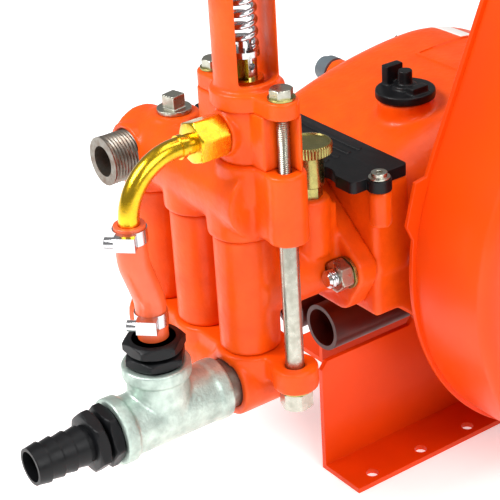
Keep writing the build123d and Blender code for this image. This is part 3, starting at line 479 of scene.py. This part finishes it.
def thread(length: float, radius: float, pitch: float, columns: int) -> tuple[np.ndarray, np.ndarray]:
    """A screw thread: radius less a triangle wave of (distance / pitch - angle / turn).

    Args:
        length: Length of the thread.
        radius: Outside radius.
        pitch: Distance between crests.
        columns: Columns round the axis.

    Returns:
        Distances along the axis, and the radius at each column and row.
    """
    rows = max(int(length / pitch * 6), 8)
    along = np.linspace(0, length, rows)
    angle = np.arange(columns)[:, None] / columns
    wave = np.abs(((along[None, :] / pitch - angle) % 1) * 2 - 1)
    fade = np.clip(np.minimum(along, length - along) / pitch, 0, 1)
    return along, radius - 0.55 * pitch * wave * fade[None, :]


def publish(
    name: str, mesh: bpy.types.Mesh, finish: Finish, body: str, replaced: list[str]
) -> bpy.types.Object:
    """Give a mesh its finish, put it on its body and hide what it stands for.

    Args:
        name: Name of the piece.
        mesh: Its mesh, in place.
        finish: Its finish.
        body: The body that it rides on.
        replaced: CAD nodes that it stands for.

    Returns:
        The piece.
    """
    piece = bpy.data.objects.new(name, mesh)
    bpy.context.scene.collection.objects.link(piece)
    mesh.materials.clear()
    mesh.materials.append(PAINT.of(finish))
    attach(piece, body)
    if replaced:
        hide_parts(*replaced)
    LOG.info("%s: %d faces on %s", name, len(mesh.polygons), body)
    return piece


def merged_copy(node: str) -> bpy.types.Mesh:
    """A copy of a CAD node's mesh with its loose triangles joined."""
    mesh = NODES[node].data.copy()
    work = bmesh.new()
    work.from_mesh(mesh)
    bmesh.ops.remove_doubles(work, verts=work.verts, dist=1e-6)
    bmesh.ops.dissolve_limit(
        work, angle_limit=math.radians(0.6), verts=work.verts, edges=work.edges, delimit={"NORMAL"}
    )
    work.to_mesh(mesh)
    work.free()
    return mesh


@dataclass
class Casting:
    """A cast piece: its CAD shape remeshed to even squares and relaxed, so corners become fillets."""

    node: str
    voxel_mm: float
    passes: int
    finish: Finish = CAST_ENAMEL

    def build(self) -> None:
        """Remesh, relax, dress and publish the casting."""
        mesh = merged_copy(self.node)
        maker = bpy.data.objects.new(f"{self.node}_maker", mesh)
        bpy.context.scene.collection.objects.link(maker)
        remesh = maker.modifiers.new("even", "REMESH")
        remesh.mode = "VOXEL"
        remesh.voxel_size = self.voxel_mm * MM
        relax = maker.modifiers.new("relax", "SMOOTH")
        relax.factor = 0.5
        relax.iterations = self.passes
        shape = bpy.data.meshes.new_from_object(maker.evaluated_get(bpy.context.evaluated_depsgraph_get()))
        bpy.data.objects.remove(maker)
        shape.shade_smooth()
        publish(f"{self.node}_cast", shape, self.finish, BODY_OF[self.node], [self.node])


@dataclass
class Worked:
    """A machined, pressed or moulded piece: its CAD shape, with sharp edges broken where an edge size is
    given.
    """

    node: str
    edge_mm: float
    finish: Finish | None = None

    def build(self) -> bpy.types.Object:
        """Break the edges if an edge size is given, dress and publish the piece.

        Returns:
            The piece.
        """
        mesh = merged_copy(self.node)
        mesh.shade_smooth()
        mesh.set_sharp_from_angle(angle=math.radians(34))
        finish = self.finish or PAINT.for_node(self.node)
        piece = publish(f"{self.node}_worked", mesh, finish, BODY_OF[self.node], [self.node])
        if self.edge_mm:
            bevel = piece.modifiers.new("edge", "BEVEL")
            bevel.width = self.edge_mm * MM
            bevel.segments = 2
            bevel.limit_method = "ANGLE"
            bevel.angle_limit = math.radians(40)
            bevel.use_clamp_overlap = True
            bevel.harden_normals = False
        return piece


@dataclass
class Fasteners:
    """Bolts and nuts of the head, the tie bolts and the regulator."""

    rod_x: tuple[float, float] = (91.0, -83.0)
    rod_y: float = -141.0
    studs: tuple = ((78.0, 172.25), (-78.0, 172.25), (25.0, 208.0), (-25.0, 208.0))
    bolt_x: tuple[float, float] = (91.0, 21.0)
    bolt_top: float = 313.5

    def build(self) -> None:
        """Make every visible fastener."""
        self._regulator_bolts()
        self._tie_bolts()
        self._head_nuts()
        self._stud_ends()

    def _regulator_bolts(self) -> None:
        """Two long bolts, threaded from under the yoke flange down to the manifold."""
        surface = Surface()
        for x in self.bolt_x:
            head = (x, self.rod_y, self.bolt_top)
            chamfered_hexagon(surface, head, Axis.UP, 13, 5.3, turn=0.35, both=False)
            along, radius = thread(61.0, 4.0, 1.25, 48)
            surface.turned((x, self.rod_y, 252.3), Axis.UP, along, radius, columns=48)
        mesh = surface.mesh("regulator_bolts")
        publish("regulator_bolts_threaded", mesh, ZINC, "pump", ["regulator_bolts"])

    def _tie_bolts(self) -> None:
        """Two plain long shanks with chamfered heads below the suction manifold."""
        surface = Surface()
        for x in self.rod_x:
            chamfered_hexagon(surface, (x, self.rod_y, 112.0), Axis.DOWN, 19, 12, turn=0.2, both=False)
            along, radius = np.array([0.0, 126.5, 128.0]), np.array([6.0, 6.0, 5.2])
            surface.turned((x, self.rod_y, 111.9), Axis.UP, along, radius)
        publish("tie_bolts_plain", surface.mesh("tie_bolts"), ZINC, "pump", ["tie_bolts"])

    def _head_nuts(self) -> None:
        """Four chamfered nuts with their bores."""
        surface = Surface()
        for x, z in self.studs:
            chamfered_hexagon(surface, (x, -88.0, z), Axis.FRONT, 19, 10, bore=6.05, turn=0.3)
        publish("head_nuts_chamfered", surface.mesh("head_nuts"), ZINC, "pump", ["head_nuts"])

    def _stud_ends(self) -> None:
        """Four studs with threaded ends that stand out of their nuts."""
        surface = Surface()
        for x, z in self.studs:
            along, radius = thread(47.6, 6.0, 1.75, 48)
            along = np.concatenate([[0.0, 0.9], along + 1.4])
            radius = np.concatenate([np.tile([4.4, 5.4], (48, 1)), radius], axis=1)
            surface.turned((x, -104.0, z), Axis.REAR, along, radius, columns=48)
        publish("head_studs_threaded", surface.mesh("head_studs"), BRIGHT, "pump", ["head_studs"])


@dataclass
class Plumbing:
    """Outlet nipple, brass union, inlet tail and hose adaptor."""

    inlet: tuple[float, float] = (50.0, 107.5)
    branch_y: float = -218.5
    port: tuple[float, float] = (56.0, 285.0)
    outlet: tuple[float, float] = (-50.0, 239.0)

    def build(self) -> None:
        """Make every fitting."""
        self._outlet_nipple()
        self._brass_nut()
        self._inlet_tail()
        self._hose_adaptor()

    def _outlet_nipple(self) -> None:
        """A pipe with a coarse taper thread outside and a bore."""
        surface = Surface()
        columns = 96
        along, radius = thread(24.6, 16.6, 2.31, columns)
        along = np.concatenate([along, [24.6, 0.0]])
        radius = np.concatenate([radius, np.full((columns, 2), 10.5)], axis=1)
        surface.turned((self.outlet[0], -186.5, self.outlet[1]), Axis.REAR, along, radius, ring=True)
        mesh = surface.mesh("outlet_nipple")
        publish("outlet_nipple_threaded", mesh, BLACK_PIPE, "pump", ["outlet_nipple"])

    def _brass_nut(self) -> None:
        """Union nut with chamfered corners."""
        surface = Surface()
        start = (self.port[0], -162.8, self.port[1])
        chamfered_hexagon(surface, start, Axis.FRONT, 25, 21.2, bore=6.55, turn=math.radians(42))
        publish("brass_nut_chamfered", surface.mesh("brass_nut"), BRASS, "pump", ["brass_nut"])

    def _inlet_tail(self) -> None:
        """Thread, two hexagons and a barbed spigot whose radius steps like a saw."""
        surface = Surface()
        x, z = self.inlet
        chamfered_hexagon(surface, (x, -255.8, z), Axis.FRONT, 36.4, 8, bore=10, turn=0.1)
        chamfered_hexagon(surface, (x, -266.0, z), Axis.FRONT, 36.4, 8, bore=10, turn=0.3)
        rows = np.linspace(0, 39.0, 118)
        barbs = 12.2 + 1.3 * np.clip(1 - ((rows - 3.5) % 9.0) / 7.5, 0, 1) * (rows > 3.5)
        along = np.concatenate([[0.0], rows, [39.0, -34.0, -34.0, -18.3, -18.3]])
        radius = np.concatenate([[12.0], barbs, [10.0, 10.0, 16.3, 16.3, 13.0]])
        surface.turned((x, -274.0, z), Axis.FRONT, along, radius, ring=True)
        publish("inlet_tail_barbed", surface.mesh("inlet_tail"), NYLON, "pump", ["inlet_tail"])

    def _hose_adaptor(self) -> None:
        """Two hexagons with a neck between, on a thread, under the hose spigot."""
        surface = Surface()
        x = self.inlet[0]
        chamfered_hexagon(surface, (x, self.branch_y, 145.8), Axis.UP, 35.5, 7.2, bore=4.5, turn=0.15)
        chamfered_hexagon(surface, (x, self.branch_y, 155.0), Axis.UP, 35.5, 8, bore=4.5, turn=0.42)
        along = np.array([0.0, 18.0, 18.0, 35.0, 35.0, 55.0, 55.0, 0.0])
        radius = np.array([16.3, 16.3, 14.0, 14.0, 6.5, 6.3, 4.5, 4.5])
        surface.turned((x, self.branch_y, 128.0), Axis.UP, along, radius, ring=True)
        publish("hose_adaptor_moulded", surface.mesh("hose_adaptor"), NYLON, "pump", ["hose_adaptor"])


@dataclass
class GreaseCup:
    """Screw-down grease cup with a knurled rim and a dished top."""

    x: float = 60.0
    y: float = -99.5
    base: float = 233.0
    knurls: int = 48

    def build(self) -> None:
        """Make the cap: a skirt, and a rim whose radius ripples round it."""
        surface = Surface()
        columns = 384
        angle = np.arange(columns)[:, None] * 2 * np.pi / columns
        along = np.array([0.0, 0.6, 20.0, 21.5, 22.2, 23.0, 28.6, 29.6, 29.8, 28.9, 28.6])
        radius = np.array([8.4, 9.0, 9.0, 9.6, 13.8, 14.5, 14.5, 13.9, 13.1, 12.3, 4.0])
        rim = (along > 22.5) & (along < 29.0) & (radius > 14)
        ripple = 0.28 * np.cos(self.knurls * angle) * rim[None, :]
        surface.turned((self.x, self.y, self.base), Axis.UP, along, radius[None, :] + ripple, columns=columns)
        mesh = surface.mesh("grease_cap")
        publish("grease_cap_knurled", mesh, YELLOW_ZINC, "grease_cap", ["grease_cup_cap"])


CASTINGS = (
    Casting("lower_manifold", 1.3, 9),
    Casting("cylinder_block", 1.4, 8),
    Casting("upper_manifold", 1.3, 14),
    Casting("regulator_body", 1.0, 6),
    Casting("regulator_yoke", 1.1, 5),
    Casting("crankcase", 2.2, 6),
    Casting("tee", 1.0, 8, GALVANISED),
    Casting("oil_cap", 0.7, 14, NYLON),
    Casting("gallery_plug", 0.5, 3, ZINC),
)
EDGES = {
    "guard_back": 0.5,
    "guard_shell": 0.0,
    "feet": 0.6,
    "frame_tubes": 0.0,
    "inspection_cover": 0.7,
    "lock_nut": 0.4,
    "hose_clamps": 0.2,
    "washers": 0.2,
    "cover_screw": 0.3,
    "bypass_hose": 0.4,
    "adjusting_handle": 0.4,
}


@dataclass
class Draped:
    """A thin sheet laid on a casting, from its low corner to its high corner in X and Y.

    With a border it stands higher along its edge, as a raised frame round a nameplate does.
    """

    name: str
    low: tuple[float, float]
    high: tuple[float, float]
    step: float
    finish: Finish
    border_mm: float = 0.0
    raised_mm: float = 0.3

    def _height(self, x: float, y: float) -> float:
        """Height above the casting at one point.

        Args:
            x: Place along X, in millimetres from the middle cylinder.
            y: Place along Y.

        Returns:
            The height in millimetres, below the skin at the sheet's edge.
        """
        inset = min(x - self.low[0], self.high[0] - x, y - self.low[1], self.high[1] - y)
        if not self.border_mm:
            return self.raised_mm if inset > 1e-6 else -0.4
        if inset < 1e-6:
            return -0.6
        return self.raised_mm if inset < self.border_mm else 0.12

    def build(self, casting: bpy.types.Object) -> None:
        """Drop a grid of points on the casting and join them.

        Args:
            casting: The piece that it lies on.
        """
        skin = BVHTree.FromPolygons(
            [vertex.co.copy() for vertex in casting.data.vertices],
            [tuple(face.vertices) for face in casting.data.polygons],
        )
        across = np.arange(self.low[0], self.high[0] + self.step / 2, self.step)
        along = np.arange(self.low[1], self.high[1] + self.step / 2, self.step)
        corners = []
        for x in across:
            for y in along:
                above = Vector(((x + OFFSET[0]) * MM, (y + OFFSET[1]) * MM, 0.3))
                hit = skin.ray_cast(above, Vector((0, 0, -1)))[0]
                corners.append((above.x, above.y, hit.z + self._height(x, y) * MM))
        rows = len(along)
        faces = [
            (i * rows + j, (i + 1) * rows + j, (i + 1) * rows + j + 1, i * rows + j + 1)
            for i in range(len(across) - 1)
            for j in range(rows - 1)
        ]
        mesh = bpy.data.meshes.new(self.name)
        mesh.from_pydata(corners, [], faces)
        mesh.shade_smooth()
        mesh.set_sharp_from_angle(angle=math.radians(50))
        publish(self.name, mesh, self.finish, "pump", [])


class Studio:
    """Floor, lights and camera."""

    def build(self) -> None:
        """Set up the whole studio."""
        self._floor()
        self._lights()
        self._camera()

    def _floor(self) -> None:
        """A pale floor that reaches out of sight."""
        mesh = bpy.data.meshes.new("floor")
        half = 6.0
        corners = [(-half, -half, 0), (half, -half, 0), (half, half, 0), (-half, half, 0)]
        mesh.from_pydata(corners, [], [(0, 1, 2, 3)])
        mesh.materials.append(PAINT.of(FLOOR))
        floor = bpy.data.objects.new("floor", mesh)
        bpy.context.scene.collection.objects.link(floor)

    def _lights(self) -> None:
        """A white room, a broad key from the front left and a softer one from the right."""
        scene = bpy.context.scene
        scene.view_settings.view_transform = "Standard"
        scene.world = bpy.data.worlds.new("room")
        scene.world.use_nodes = True
        background = scene.world.node_tree.nodes["Background"]
        background.inputs["Color"].default_value = (1.0, 1.0, 1.0, 1.0)
        background.inputs["Strength"].default_value = 0.3
        for name, place, size, power in (
            ("key", (-0.4, -1.5, 1.7), 1.0, 45.0),
            ("fill", (1.8, -0.4, 1.4), 1.2, 22.0),
            ("top", (0.2, 0.5, 2.2), 1.4, 18.0),
        ):
            light = bpy.data.lights.new(name, "AREA")
            light.size = size
            light.energy = power
            lamp = bpy.data.objects.new(name, light)
            lamp.location = place
            aim = Vector((0.0, -0.1, 0.2)) - lamp.location
            lamp.rotation_euler = aim.to_track_quat("-Z", "Y").to_euler()
            scene.collection.objects.link(lamp)

    def _camera(self) -> None:
        """A long lens from the front, near side, looking down and slightly rolled."""
        azimuth, elevation, roll = math.radians(56.0), math.radians(27.33), math.radians(-3.66)
        ahead = Vector(
            (
                -math.cos(elevation) * math.sin(azimuth),
                math.cos(elevation) * math.cos(azimuth),
                -math.sin(elevation),
            )
        )
        level = ahead.cross(Vector((0, 0, 1))).normalized()
        upright = level.cross(ahead)
        right = math.cos(roll) * level + math.sin(roll) * upright
        up = -math.sin(roll) * level + math.cos(roll) * upright
        turn = Matrix((right, up, -ahead)).transposed().to_4x4()
        data = bpy.data.cameras.new("camera")
        data.sensor_width = 36.0
        data.lens = 113.2
        camera = bpy.data.objects.new("camera", data)
        camera.matrix_world = Matrix.Translation((0.7986, -0.7062, 0.6557)) @ turn
        bpy.context.scene.collection.objects.link(camera)
        bpy.context.scene.camera = camera


def build_spring() -> None:
    """The regulator spring, dressed from its CAD shape on a mesh of its own."""
    spring = Worked("regulator_spring", 0.0).build()
    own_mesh(spring)


def main() -> None:
    """Build every piece of the pump, then the studio."""
    logging.basicConfig(level=logging.INFO)
    for maker in (Fasteners(), Plumbing(), GreaseCup()):
        maker.build()
    for casting in CASTINGS:
        casting.build()
    crankcase = bpy.data.objects["crankcase_cast"]
    Draped("nameplate_border", (-26.0, 62.0), (30.0, 115.0), 0.7, CAST_ENAMEL, 2.4, 1.1).build(crankcase)
    Draped("blank_label", (-60.0, 108.0), (-27.0, 123.0), 1.0, PAPER).build(crankcase)
    build_spring()
    for node, shown in NODES.items():
        if not shown.hide_render:
            Worked(node, EDGES.get(node, 0.0)).build()
    Studio().build()


if __name__ == "__main__":
    main()
